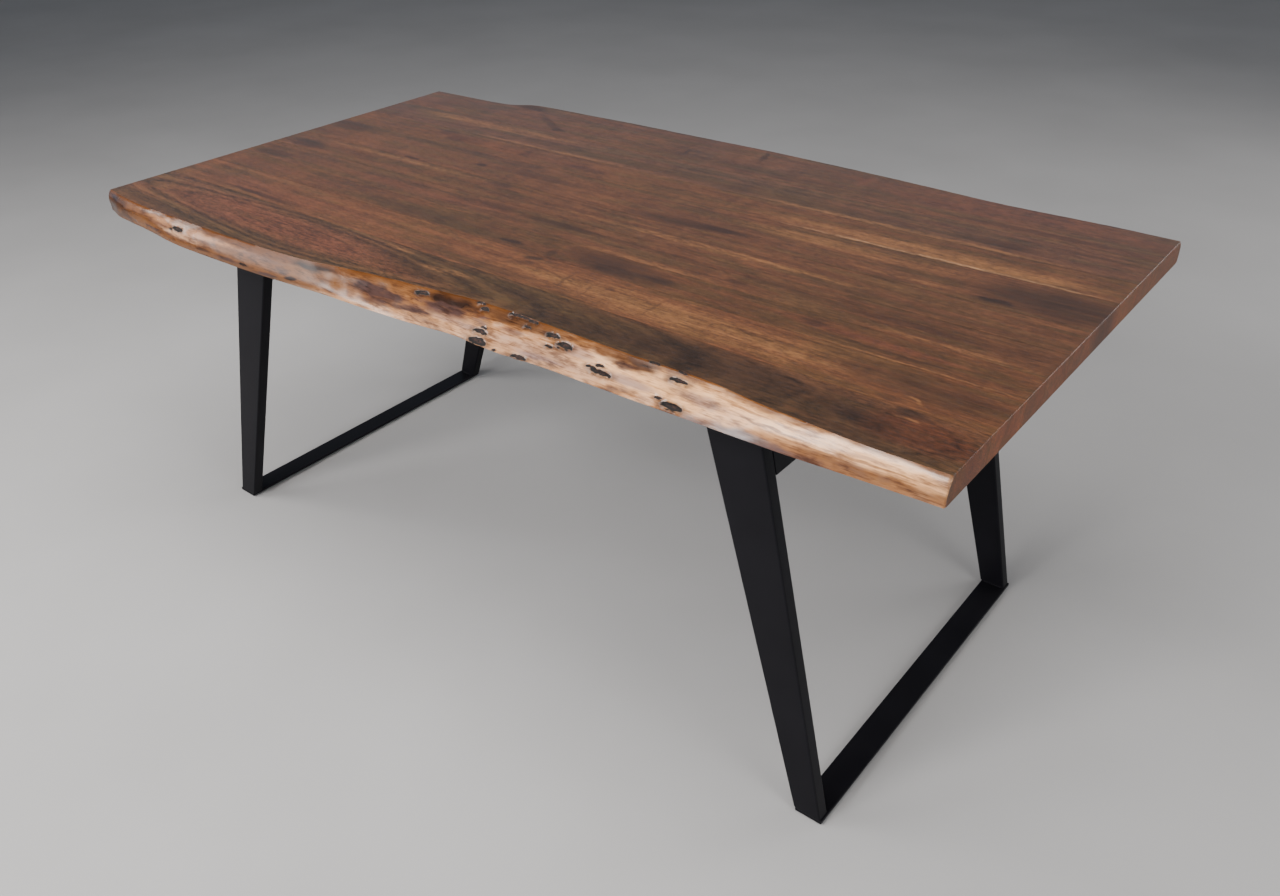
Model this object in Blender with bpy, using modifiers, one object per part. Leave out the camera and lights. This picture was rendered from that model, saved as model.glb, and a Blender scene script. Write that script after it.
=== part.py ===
"""Butcher block table with live edges.

The top is glued up edge to edge from nine full-length staves. The two outer staves keep the wavy
live edge of the tree. Two welded steel U-frames carry it: each is bolted up through slots in its top
plate into threaded inserts in the staves.

Metres, +Z up. The origin is on the floor under the middle of the table. +X runs along the staves,
-Y is the front live edge.
"""

import bisect
import math

import bmesh
import bpy

GAP = 0.0003  # clearance kept between pieces that touch

# Overall sizes
TABLE_LENGTH = 1.800
TABLE_HEIGHT = 0.760
TOP_THICKNESS = 0.044
UNDERSIDE = TABLE_HEIGHT - TOP_THICKNESS

# Glue joints between the staves, from front to back
GLUE_JOINTS = (-0.337, -0.227, -0.150, -0.062, 0.030, 0.154, 0.244, 0.350)

# Live edges, as (x, y of the edge on the top face, y of the edge on the underside)
FRONT_LIVE_EDGE = (
    (-0.900, -0.487, -0.491),
    (-0.860, -0.494, -0.503),
    (-0.720, -0.504, -0.514),
    (-0.600, -0.504, -0.525),
    (-0.400, -0.499, -0.520),
    (-0.280, -0.492, -0.511),
    (-0.190, -0.474, -0.503),
    (-0.100, -0.458, -0.500),
    (0.000, -0.444, -0.494),
    (0.110, -0.429, -0.482),
    (0.180, -0.427, -0.486),
    (0.290, -0.430, -0.478),
    (0.400, -0.432, -0.477),
    (0.530, -0.430, -0.474),
    (0.640, -0.443, -0.471),
    (0.700, -0.447, -0.469),
    (0.790, -0.453, -0.463),
    (0.900, -0.451, -0.458),
)
BACK_LIVE_EDGE = (
    (-0.900, 0.477, 0.487),
    (-0.714, 0.478, 0.492),
    (-0.641, 0.486, 0.499),
    (-0.597, 0.511, 0.516),
    (-0.560, 0.517, 0.521),
    (-0.400, 0.519, 0.522),
    (-0.300, 0.521, 0.523),
    (-0.100, 0.518, 0.522),
    (0.060, 0.517, 0.522),
    (0.160, 0.512, 0.521),
    (0.300, 0.504, 0.519),
    (0.410, 0.495, 0.512),
    (0.530, 0.484, 0.503),
    (0.600, 0.478, 0.499),
    (0.780, 0.478, 0.494),
    (0.900, 0.472, 0.484),
)
LIVE_EDGE_BULGE = 0.003  # how far the edge swells outwards at half its height
LIVE_EDGE_STEP = 0.050  # distance between the cross-sections along a live edge

# Steel frames; x values are distances from the middle of the table
FRAME_DEPTH = 0.790  # over the outer faces of the front and rear legs
LEG_THICKNESS = 0.025  # along Y
LEG_TOP_WIDTH = 0.098
LEG_FOOT_WIDTH = 0.048
LEG_TOP_X = 0.5535  # centre of the leg at the underside of the top
LEG_FOOT_X = 0.7605  # centre of the leg at the floor
LEG_WALL = 0.0025
LEG_EDGE_RADIUS = 0.003
TOP_PLATE_THICKNESS = 0.005
CROSSBEAM_HEIGHT = 0.102
CROSSBEAM_WALL = 0.004
FOOT_BAR_THICKNESS = 0.006
GLIDE_THICKNESS = 0.003
GLIDE_RADIUS = 0.018

# M8 fasteners; each bolt sits under the middle of a stave
BOLT_Y = (-0.282, -0.106, 0.092, 0.297)
BOLT_RADIUS = 0.004
BOLT_LENGTH = 0.020
BOLT_HEAD_RADIUS = 0.0075
BOLT_HEAD_HEIGHT = 0.0044
WASHER_RADIUS = 0.012
WASHER_THICKNESS = 0.0016
CLEARANCE_RADIUS = 0.0045
INSERT_RADIUS = 0.0065
INSERT_BORE_RADIUS = 0.0044
INSERT_LENGTH = 0.014
INSERT_HOLE_DEPTH = 0.018
SLOT_HALF_WIDTH = 0.0045
SLOT_HALF_TRAVEL = 0.005  # the top may grow this far across the grain, each way
ROUND_STEPS = 16

# Levels, from the floor up
FOOT_BAR_BOTTOM = GLIDE_THICKNESS + GAP
LEG_BOTTOM = FOOT_BAR_BOTTOM + FOOT_BAR_THICKNESS + GAP
TOP_PLATE_TOP = UNDERSIDE - GAP
TOP_PLATE_BOTTOM = TOP_PLATE_TOP - TOP_PLATE_THICKNESS
LEG_TOP = TOP_PLATE_BOTTOM - GAP
CROSSBEAM_BOTTOM = LEG_TOP - CROSSBEAM_HEIGHT
WASHER_BOTTOM = TOP_PLATE_BOTTOM - GAP - WASHER_THICKNESS


# ---------------------------------------------------------------- scene and materials


def clear_scene():
    for thing in list(bpy.data.objects):
        bpy.data.objects.remove(thing, do_unlink=True)


def new_collection(name):
    collection = bpy.data.collections.new(name)
    bpy.context.scene.collection.children.link(collection)
    return collection


def new_material(name, colour, roughness, metallic=0.0):
    material = bpy.data.materials.new(name)
    material.use_nodes = True
    shader = material.node_tree.nodes["Principled BSDF"]
    shader.inputs["Base Color"].default_value = (*colour, 1.0)
    shader.inputs["Roughness"].default_value = roughness
    shader.inputs["Metallic"].default_value = metallic
    return material


def new_empty(name, location, parent=None):
    empty = bpy.data.objects.new(name, None)
    empty.location = location
    empty.parent = parent
    PARTS.objects.link(empty)
    return empty


def new_object(name, shape, location, parent=None, material=None):
    """Turns a bmesh into an object at a location in its parent's space: a cutter, if it has no material."""
    bmesh.ops.recalc_face_normals(shape, faces=shape.faces)
    mesh = bpy.data.meshes.new(name)
    shape.to_mesh(mesh)
    shape.free()
    thing = bpy.data.objects.new(name, mesh)
    thing.location = location
    thing.parent = parent
    if material:
        mesh.materials.append(material)
        PARTS.objects.link(thing)
    else:
        thing.hide_render = True
        thing.display_type = "WIRE"
        CUTTERS.objects.link(thing)
    return thing


def cut(piece, cutter):
    boolean = piece.modifiers.new(cutter.name, "BOOLEAN")
    boolean.operation = "DIFFERENCE"
    boolean.solver = "EXACT"
    boolean.object = cutter


def round_upright_edges(piece, radius):
    """Bevels the edges that run up the piece, in its own mesh."""
    shape = bmesh.new()
    shape.from_mesh(piece.data)
    upright = []
    for edge in shape.edges:
        rise = edge.verts[1].co - edge.verts[0].co
        if abs(rise.z) > 0.9 * rise.length:
            upright.append(edge)
    bmesh.ops.bevel(shape, geom=upright, offset=radius, segments=2, profile=0.5, affect="EDGES")
    shape.to_mesh(piece.data)
    shape.free()


# ---------------------------------------------------------------- shapes


def box_shape(size_x, size_y, size_z):
    shape = bmesh.new()
    bmesh.ops.create_cube(shape, size=1.0)
    bmesh.ops.scale(shape, vec=(size_x, size_y, size_z), verts=shape.verts)
    return shape


def leaning_box_shape(x_bottom, x_top, size_y, z_bottom, z_top):
    """A box whose sides in X lean: x_bottom and x_top are its (low, high) pairs at each end."""
    shape = box_shape(1.0, size_y, 1.0)
    for vertex in shape.verts:
        pair, height = (x_top, z_top) if vertex.co.z > 0 else (x_bottom, z_bottom)
        vertex.co.x = pair[1] if vertex.co.x > 0 else pair[0]
        vertex.co.z = height
    return shape


def disc_shape(radius, height):
    shape = bmesh.new()
    bmesh.ops.create_cone(
        shape, cap_ends=True, segments=2 * ROUND_STEPS, radius1=radius, radius2=radius, depth=height
    )
    return shape


def slot_shape(half_width, half_travel, height):
    """A prism with round ends, long in Y."""
    shape = bmesh.new()
    bmesh.ops.create_cone(
        shape, cap_ends=True, segments=ROUND_STEPS, radius1=half_width, radius2=half_width, depth=height
    )
    half_step = math.pi / ROUND_STEPS
    for vertex in shape.verts:
        angle = math.atan2(vertex.co.y, vertex.co.x) + half_step
        vertex.co.x = half_width * math.cos(angle)
        vertex.co.y = half_width * math.sin(angle)
        vertex.co.y += math.copysign(half_travel, vertex.co.y)
    return shape


def turned(name, profile, location, parent=None, material=None, closed=False):
    """Turns a profile of (radius, z) points, which runs down its outer side, about Z."""
    shape = bmesh.new()
    points = [shape.verts.new((radius, 0.0, z)) for radius, z in profile]
    for first, second in zip(points, points[1:]):
        shape.edges.new((first, second))
    if closed:
        shape.edges.new((points[-1], points[0]))
    thing = new_object(name, shape, location, parent, material)
    screw = thing.modifiers.new("turn", "SCREW")
    screw.axis = "Z"
    screw.steps = ROUND_STEPS
    screw.render_steps = ROUND_STEPS
    screw.use_merge_vertices = True
    screw.merge_threshold = 0.00005
    return thing


def ring_profile(inner_radius, outer_radius, bottom, top):
    return (
        (inner_radius, top),
        (outer_radius, top),
        (outer_radius, bottom),
        (inner_radius, bottom),
    )


def smooth_line(points):
    """A function y(x) that passes smoothly through the points and never overshoots one."""
    xs = [x for x, _ in points]
    ys = [y for _, y in points]
    rises = [(ys[i + 1] - ys[i]) / (xs[i + 1] - xs[i]) for i in range(len(xs) - 1)]
    slopes = [rises[0]]
    for before, after in zip(rises, rises[1:]):
        turns_back = before * after <= 0
        slopes.append(0.0 if turns_back else 2 * before * after / (before + after))
    slopes.append(rises[-1])

    def height(x):
        i = min(max(bisect.bisect_right(xs, x) - 1, 0), len(rises) - 1)
        width = xs[i + 1] - xs[i]
        t = (x - xs[i]) / width
        start = (1 + 2 * t) * (1 - t) ** 2 * ys[i] + t * (1 - t) ** 2 * width * slopes[i]
        end = t * t * (3 - 2 * t) * ys[i + 1] - t * t * (1 - t) * width * slopes[i + 1]
        return start + end

    return height


# ---------------------------------------------------------------- the wooden top


def live_edge_stave(name, edge_points, inner_y, material, parent):
    """A stave with one sawn side at inner_y and one live side, lofted along X."""
    top_edge = smooth_line([(x, top_y) for x, top_y, _ in edge_points])
    bottom_edge = smooth_line([(x, bottom_y) for x, _, bottom_y in edge_points])
    outwards = math.copysign(1.0, edge_points[0][1])
    middle = TABLE_HEIGHT - TOP_THICKNESS / 2
    sections = round(TABLE_LENGTH / LIVE_EDGE_STEP)
    shape = bmesh.new()
    rings = []
    for i in range(sections + 1):
        x = -TABLE_LENGTH / 2 + i * TABLE_LENGTH / sections
        top_y = top_edge(x)
        bottom_y = bottom_edge(x)
        bulge_y = (top_y + bottom_y) / 2 + outwards * LIVE_EDGE_BULGE
        outline = (
            (inner_y, TABLE_HEIGHT),
            (top_y, TABLE_HEIGHT),
            (bulge_y, middle),
            (bottom_y, UNDERSIDE),
            (inner_y, UNDERSIDE),
        )
        rings.append([shape.verts.new((x, y, z - middle)) for y, z in outline])
    for ring, following in zip(rings, rings[1:]):
        for i in range(len(ring)):
            shape.faces.new((ring[i - 1], ring[i], following[i], following[i - 1]))
    shape.faces.new(rings[0])
    shape.faces.new(rings[-1])
    return new_object(name, shape, (0, 0, middle), parent, material)


def inner_stave(name, front_y, back_y, material, parent):
    shape = box_shape(TABLE_LENGTH, back_y - front_y, TOP_THICKNESS)
    place = (0, (front_y + back_y) / 2, TABLE_HEIGHT - TOP_THICKNESS / 2)
    return new_object(name, shape, place, parent, material)


def insert_holes(stave, front_y, back_y, parent):
    """Blind holes in the underside, for the inserts whose bolts lie under this stave."""
    for y in BOLT_Y:
        if not front_y < y < back_y:
            continue
        for side, x in (("left", -LEG_TOP_X), ("right", LEG_TOP_X)):
            radius = INSERT_RADIUS + GAP
            profile = (
                (0.0, INSERT_HOLE_DEPTH),
                (radius, INSERT_HOLE_DEPTH),
                (radius, -INSERT_HOLE_DEPTH),
                (0.0, -INSERT_HOLE_DEPTH),
            )
            hole = turned(f"cut_{side}_{stave.name}", profile, (x, y, UNDERSIDE), parent)
            cut(stave, hole)


def build_top(materials):
    top = new_empty("top", (0, 0, 0))
    front_joint, back_joint = GLUE_JOINTS[0], GLUE_JOINTS[-1]
    sapwood = materials["sapwood"]
    live_edge_stave("front_live_edge_stave", FRONT_LIVE_EDGE, front_joint - GAP / 2, sapwood, top)
    for i, (front, back) in enumerate(zip(GLUE_JOINTS, GLUE_JOINTS[1:])):
        tone = materials["light stave" if i % 2 else "dark stave"]
        stave = inner_stave(f"inner_stave_{i + 1}", front + GAP / 2, back - GAP / 2, tone, top)
        insert_holes(stave, front, back, top)
    live_edge_stave("back_live_edge_stave", BACK_LIVE_EDGE, back_joint + GAP / 2, sapwood, top)


# ---------------------------------------------------------------- the steel frames


def leg_faces(z):
    """Distances from the table's middle to a leg's inner and outer faces at a height."""
    share = (UNDERSIDE - z) / UNDERSIDE
    centre = LEG_TOP_X + share * (LEG_FOOT_X - LEG_TOP_X)
    half = (LEG_TOP_WIDTH + share * (LEG_FOOT_WIDTH - LEG_TOP_WIDTH)) / 2
    return centre - half, centre + half


def sided(side, low, high):
    """A (low, high) pair of distances on the right, or its mirror image on the left."""
    return (low, high) if side > 0 else (-high, -low)


def leaning_piece(name, side, faces, size_y, y, z_bottom, z_top, frame, material=None):
    """A piece of a frame whose faces follow the lean of the legs; faces(z) gives its distances."""
    x_bottom = sided(side, *faces(z_bottom))
    x_top = sided(side, *faces(z_top))
    origin_x = sum(x_bottom) / 2
    shape = leaning_box_shape(
        [x - origin_x for x in x_bottom],
        [x - origin_x for x in x_top],
        size_y,
        0.0,
        z_top - z_bottom,
    )
    place = (origin_x - frame.location.x, y, z_bottom)
    return new_object(name, shape, place, frame, material)


def build_leg(name, side, y, frame, material):
    leg = leaning_piece(name, side, leg_faces, LEG_THICKNESS, y, LEG_BOTTOM, LEG_TOP, frame, material)
    round_upright_edges(leg, LEG_EDGE_RADIUS)

    def hollow_faces(z):
        inner, outer = leg_faces(z)
        return inner + LEG_WALL, outer - LEG_WALL

    past_the_ends = 0.010
    hollow = leaning_piece(
        f"cut_{name}",
        side,
        hollow_faces,
        LEG_THICKNESS - 2 * LEG_WALL,
        y,
        LEG_BOTTOM - past_the_ends,
        LEG_TOP + past_the_ends,
        frame,
    )
    cut(leg, hollow)


def build_crossbeam(prefix, side, frame, material):
    """Two upright plates, flush with the inner and outer faces of the legs."""

    def outer_plate(z):
        _, outer = leg_faces(z)
        return outer - CROSSBEAM_WALL, outer

    def inner_plate(z):
        inner, _ = leg_faces(z)
        return inner, inner + CROSSBEAM_WALL

    length = FRAME_DEPTH - 2 * LEG_THICKNESS - 2 * GAP
    for word, faces in (("outer", outer_plate), ("inner", inner_plate)):
        name = f"{prefix}_crossbeam_{word}_plate"
        leaning_piece(name, side, faces, length, 0.0, CROSSBEAM_BOTTOM, LEG_TOP, frame, material)


def build_top_plate(prefix, frame, material):
    plate = new_object(
        f"{prefix}_top_plate",
        box_shape(LEG_TOP_WIDTH, FRAME_DEPTH, TOP_PLATE_THICKNESS),
        (0, 0, TOP_PLATE_BOTTOM + TOP_PLATE_THICKNESS / 2),
        frame,
        material,
    )
    for i, y in enumerate(BOLT_Y):
        slot = new_object(
            f"cut_{prefix}_slot_{i + 1}",
            slot_shape(SLOT_HALF_WIDTH, SLOT_HALF_TRAVEL, 4 * TOP_PLATE_THICKNESS),
            (0, y, TOP_PLATE_BOTTOM),
            frame,
        )
        cut(plate, slot)


def build_foot(prefix, side, frame, steel, rubber):
    foot_x = side * LEG_FOOT_X - frame.location.x
    new_object(
        f"{prefix}_foot_bar",
        box_shape(LEG_FOOT_WIDTH, FRAME_DEPTH, FOOT_BAR_THICKNESS),
        (foot_x, 0, FOOT_BAR_BOTTOM + FOOT_BAR_THICKNESS / 2),
        frame,
        steel,
    )
    glide_y = FRAME_DEPTH / 2 - LEG_THICKNESS
    for word, y in (("front", -glide_y), ("rear", glide_y)):
        new_object(
            f"{prefix}_{word}_glide",
            disc_shape(GLIDE_RADIUS, GLIDE_THICKNESS),
            (foot_x, y, GLIDE_THICKNESS / 2),
            frame,
            rubber,
        )


def build_fasteners(prefix, frame, steel, brass):
    bolt = (
        (0.0, BOLT_LENGTH),
        (BOLT_RADIUS, BOLT_LENGTH),
        (BOLT_RADIUS, 0.0),
        (BOLT_HEAD_RADIUS, 0.0),
        (BOLT_HEAD_RADIUS, -BOLT_HEAD_HEIGHT / 3),
        (BOLT_HEAD_RADIUS * 0.6, -BOLT_HEAD_HEIGHT),
        (0.0, -BOLT_HEAD_HEIGHT),
    )
    washer = ring_profile(CLEARANCE_RADIUS, WASHER_RADIUS, 0.0, WASHER_THICKNESS)
    insert = ring_profile(INSERT_BORE_RADIUS, INSERT_RADIUS, 0.0, INSERT_LENGTH)
    for i, y in enumerate(BOLT_Y):
        number = i + 1
        turned(f"{prefix}_bolt_{number}", bolt, (0, y, WASHER_BOTTOM - GAP), frame, steel)
        turned(f"{prefix}_washer_{number}", washer, (0, y, WASHER_BOTTOM), frame, steel, closed=True)
        turned(f"{prefix}_insert_{number}", insert, (0, y, UNDERSIDE + GAP), frame, brass, closed=True)


def build_frame(prefix, side, materials):
    frame = new_empty(f"{prefix}_frame", (side * LEG_TOP_X, 0, 0))
    leg_y = (FRAME_DEPTH - LEG_THICKNESS) / 2
    build_leg(f"{prefix}_front_leg", side, -leg_y, frame, materials["black steel"])
    build_leg(f"{prefix}_rear_leg", side, leg_y, frame, materials["black steel"])
    build_crossbeam(prefix, side, frame, materials["black steel"])
    build_top_plate(prefix, frame, materials["black steel"])
    build_foot(prefix, side, frame, materials["black steel"], materials["glide rubber"])
    build_fasteners(prefix, frame, materials["fastener steel"], materials["insert brass"])


def main():
    materials = {
        "sapwood": new_material("sapwood", (0.42, 0.26, 0.17), 0.35),
        "dark stave": new_material("dark stave", (0.15, 0.075, 0.045), 0.38),
        "light stave": new_material("light stave", (0.20, 0.10, 0.055), 0.38),
        "black steel": new_material("black steel", (0.018, 0.017, 0.020), 0.45, 0.3),
        "fastener steel": new_material("fastener steel", (0.10, 0.10, 0.10), 0.40, 1.0),
        "insert brass": new_material("insert brass", (0.55, 0.42, 0.18), 0.35, 1.0),
        "glide rubber": new_material("glide rubber", (0.03, 0.03, 0.03), 0.85),
    }
    build_top(materials)
    build_frame("left", -1, materials)
    build_frame("right", 1, materials)


clear_scene()
PARTS = new_collection("butcher block table")
CUTTERS = new_collection("cutters")
main()
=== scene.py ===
"""Looks of the live-edge dining table: figured hardwood staves on black powder-coated steel frames.

Metres, +Z up, in the CAD's own frame: +X along the staves, -Y towards the front live edge.
"""

import bisect
import math
from typing import NamedTuple

import bmesh
import bpy
from mathutils import Matrix, Vector, noise


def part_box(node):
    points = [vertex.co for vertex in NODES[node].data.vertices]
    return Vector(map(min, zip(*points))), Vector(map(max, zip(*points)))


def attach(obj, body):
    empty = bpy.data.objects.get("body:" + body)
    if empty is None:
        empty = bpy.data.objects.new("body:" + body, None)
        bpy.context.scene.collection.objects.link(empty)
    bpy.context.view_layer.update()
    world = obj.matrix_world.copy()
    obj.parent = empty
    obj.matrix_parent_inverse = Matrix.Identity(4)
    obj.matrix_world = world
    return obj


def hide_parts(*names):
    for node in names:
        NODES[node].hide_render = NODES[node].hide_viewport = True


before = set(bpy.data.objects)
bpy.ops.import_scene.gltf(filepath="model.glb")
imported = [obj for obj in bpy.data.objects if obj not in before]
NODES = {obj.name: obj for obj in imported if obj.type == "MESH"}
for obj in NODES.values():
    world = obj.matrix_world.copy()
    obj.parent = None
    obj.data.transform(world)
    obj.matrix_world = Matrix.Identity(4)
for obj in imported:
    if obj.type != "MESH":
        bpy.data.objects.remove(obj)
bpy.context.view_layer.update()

FRONT_STAVE = "front_live_edge_stave"
BACK_STAVE = "back_live_edge_stave"
INNER_STAVES = [f"inner_stave_{i}" for i in range(1, 8)]
SIDES = ("left", "right")
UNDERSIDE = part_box(INNER_STAVES[0])[0].z
TABLE_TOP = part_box(INNER_STAVES[0])[1].z
THICKNESS = TABLE_TOP - UNDERSIDE
HALF_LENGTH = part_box(INNER_STAVES[0])[1].x

END_ROUNDING = 0.0022  # radius of the rounded edges at both ends of the top
EDGE_ROUNDING = 0.0024  # how far the rounding at the top of a live edge stands out
FOOT_BEVEL = 0.0015  # size of the bevel at the foot of a live edge
STATION_STEP = 0.0025  # distance between the cross-sections of a live edge
FACE_STEPS = 20  # points down a live edge
PIT_SCALE = 1.9  # how much deeper the bark pits are cut than the depths listed for them
INSERT_CLEARANCE = 0.0003  # gap round an insert in its blind hole
INSERT_HOLE_DEPTH = 0.018
LEG_ROUNDING = 0.0006  # of the legs' coated edges
PLATE_ROUNDING = 0.0009  # of the coated edges of plates and foot bars
FOOT_WELD_INSET = 0.003  # from the sides of a foot bar to the ends of the weld across it
FOOT_WELD_HEIGHT = 0.0006  # of the middle of that weld above the foot bar
BEAM_WELD_INSET = 0.004  # from a crossbeam plate's lower and upper edge to the ends of its weld
BEAM_WELD_SETBACK = 0.0042  # from the plate's shown face to the weld behind the plate


# ---------------------------------------------------------------- placing things


def add_piece(name, mesh, materials, slot, *nodes):
    """A new piece of the table, which stands for the CAD nodes named."""
    piece = bpy.data.objects.new(name, mesh)
    bpy.context.scene.collection.objects.link(piece)
    for material in materials:
        mesh.materials.append(material)
    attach(piece, "root")
    if nodes:
        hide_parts(*nodes)
    return piece


def smooth_but_crisp(piece, sharp_angle=40):
    """Smooth shading that keeps large flat faces flat."""
    piece.data.shade_smooth()
    piece.data.set_sharp_from_angle(angle=math.radians(sharp_angle))
    weighted = piece.modifiers.new("weighted normals", "WEIGHTED_NORMAL")
    weighted.keep_sharp = True


# ---------------------------------------------------------------- shader nodes


class Shader:
    """A material under construction. Its methods add nodes and return their outputs."""

    def __init__(self, name, shift=(0, 0, 0)):
        self.material = bpy.data.materials.new(name)
        self.material.use_nodes = True
        self.tree = self.material.node_tree
        self.surface = self.tree.nodes["Principled BSDF"]
        self.shift = shift  # gives pieces of the same wood a grain of their own

    def plug(self, socket, value):
        if isinstance(value, bpy.types.NodeSocket):
            self.tree.links.new(value, socket)
        else:
            socket.default_value = value

    def add(self, kind, plugs, output=0, **settings):
        node = self.tree.nodes.new(kind)
        for setting, value in settings.items():
            setattr(node, setting, value)
        for socket, value in plugs.items():
            self.plug(node.inputs[socket], value)
        return node.outputs[output]

    def place(self):
        """The point being shaded, in metres in the table's own frame."""
        return self.add("ShaderNodeTexCoord", {}, output="Object")

    def math(self, operation, a, b=0.0, c=0.0):
        return self.add("ShaderNodeMath", {0: a, 1: b, 2: c}, operation=operation)

    def scaled(self, vector, scale, shift=(0, 0, 0)):
        plugs = {0: vector, 1: scale, 2: shift}
        return self.add("ShaderNodeVectorMath", plugs, operation="MULTIPLY_ADD")

    def length(self, vector):
        return self.add("ShaderNodeVectorMath", {0: vector}, output="Value", operation="LENGTH")

    def distance(self, where, centre, radii):
        """How far where is from a centre, in an ellipsoid's radii. A radius of 0 is endless."""
        scale = [1 / radius if radius else 0.0 for radius in radii]
        shift = [-middle * factor for middle, factor in zip(centre, scale)]
        return self.length(self.scaled(where, scale, shift))

    def noise(self, vector, scale, detail=2.0, roughness=0.5):
        plugs = {"Vector": vector, "Scale": scale, "Detail": detail, "Roughness": roughness}
        return self.add("ShaderNodeTexNoise", plugs)

    def drawn_out(self, place, stretch, scale, detail=2.0, roughness=0.5):
        """Noise of the piece's own, drawn out along each axis by 1 / stretch."""
        return self.noise(self.scaled(place, stretch, self.shift), scale, detail, roughness)

    def noise_along(self, value, scale, detail=2.0, roughness=0.5):
        plugs = {"W": value, "Scale": scale, "Detail": detail, "Roughness": roughness}
        return self.add("ShaderNodeTexNoise", plugs, noise_dimensions="1D")

    def pushed_about(self, place, pattern, scale, reach):
        """The place, moved by noise over pattern by up to half of reach either way."""
        push = self.add("ShaderNodeTexNoise", {"Vector": pattern, "Scale": scale}, output="Color")
        push = self.scaled(push, reach, [-span / 2 for span in reach])
        return self.add("ShaderNodeVectorMath", {0: place, 1: push}, operation="ADD")

    def fade(self, value, low, high, at_low=0.0, at_high=1.0):
        """Turns smoothly from at_low, where value is low, to at_high, where it is high."""
        plugs = {"Value": value, "From Min": low, "From Max": high, "To Min": at_low, "To Max": at_high}
        return self.add("ShaderNodeMapRange", plugs, interpolation_type="SMOOTHSTEP")

    def mix(self, share, first, second, blend="MIX"):
        plugs = {0: share, 6: first, 7: second}
        return self.add("ShaderNodeMix", plugs, output=2, data_type="RGBA", blend_type=blend)

    def ramp(self, value, *stops):
        """A colour that runs through stops of (position, colour)."""
        colour = self.add("ShaderNodeValToRGB", {"Fac": value}, output="Color")
        elements = colour.node.color_ramp.elements
        while len(elements) < len(stops):
            elements.new(0.5)
        for element, stop in zip(elements, stops):
            element.position, element.color = stop
        return colour

    def weighted_sum(self, base, *terms):
        """base + the sum of weight * (value - 0.5)."""
        total = base
        for value, weight in terms:
            centred = self.math("SUBTRACT", value, 0.5)
            total = self.math("MULTIPLY_ADD", centred, weight, total)
        return total

    def bump(self, height, distance, strength=1.0):
        plugs = {"Height": height, "Distance": distance, "Strength": strength}
        self.plug(self.surface.inputs["Normal"], self.add("ShaderNodeBump", plugs))

    def finish(self, **values):
        """Sets the surface's own inputs; an underscore in a name stands for a space."""
        for name, value in values.items():
            self.plug(self.surface.inputs[name.replace("_", " ")], value)
        return self.material


def tint(red, green, blue):
    return (red, green, blue, 1.0)


BLACK = tint(0.010, 0.006, 0.004)
DARK = tint(0.026, 0.0115, 0.006)
RED = tint(0.112, 0.034, 0.017)
MAHOGANY = tint(0.082, 0.023, 0.008)
OLIVE = tint(0.042, 0.022, 0.008)
GOLD = tint(0.230, 0.098, 0.034)
PALE = tint(0.300, 0.160, 0.075)
MOSS = tint(0.78, 0.99, 0.88)  # multiplies a stave's colour where it is greener
END_GRAIN = tint(1.75, 1.25, 0.75)  # multiplies the colour of a stave's sawn ends
GRAIN_RANGE = 1.9  # how much lighter the lightest grain is than the middle of its stave


# ---------------------------------------------------------------- heartwood


class Patch(NamedTuple):
    """A soft-edged ellipse of another tint, turned by degrees. On a live edge, y is the height."""

    x: float
    y: float
    half_length: float
    half_width: float
    strength: float
    tint: tuple
    turn: float = 0.0


class Knot(NamedTuple):
    """A knot that the growth rings bend round."""

    x: float
    y: float
    half_length: float
    half_width: float
    lift: float


class Figure(NamedTuple):
    """How a stave was cut from its log, and what shows on it.

    The growth rings lie round an ellipsoid about pith, drawn out along X by 1 / taper.
    """

    pith: tuple
    taper: float
    middle: tuple
    patches: tuple = ()
    knots: tuple = ()
    rings: float = 0.38
    flecks: float = 0.75


def patched(shader, colour, place, grain, patches, plane, lightening=1.0):
    """Lays each patch over a colour, its edge broken up by the grain."""
    for patch in patches:
        centre = [patch.x, 0, 0]
        centre[plane] = patch.y
        radii = [patch.half_length, 0, 0]
        radii[plane] = patch.half_width
        where = place
        if patch.turn:
            plugs = {"Vector": place, "Center": centre, "Angle": -math.radians(patch.turn)}
            where = shader.add("ShaderNodeVectorRotate", plugs, rotation_type="Z_AXIS")
        away = shader.distance(where, centre, radii)
        cover = shader.fade(away, 0.45, 1.20, patch.strength, 0.0)
        cover = shader.math("MULTIPLY", cover, grain)
        colour = shader.mix(cover, colour, tint(*(lightening * level for level in patch.tint[:3])))
    return colour


def ring_distance(shader, place, figure):
    """The distance from the pith, which the growth rings follow, bent round the knots."""
    x, y, z = figure.pith
    taper = figure.taper
    rings = shader.length(shader.scaled(place, (taper, 1, 1), (-x * taper, -y, -z)))
    drift = shader.drawn_out(place, (1, 3, 3), 1.6, 1.0)
    wiggle = shader.drawn_out(place, (1, 5, 5), 7.0, 2.0)
    rings = shader.weighted_sum(rings, (drift, 0.045), (wiggle, 0.006))
    for knot in figure.knots:
        away = shader.distance(place, (knot.x, knot.y, 0), (knot.half_length, knot.half_width, 0))
        rings = shader.math("ADD", rings, shader.fade(away, 0.0, 1.6, knot.lift, 0.0))
    return rings


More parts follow.
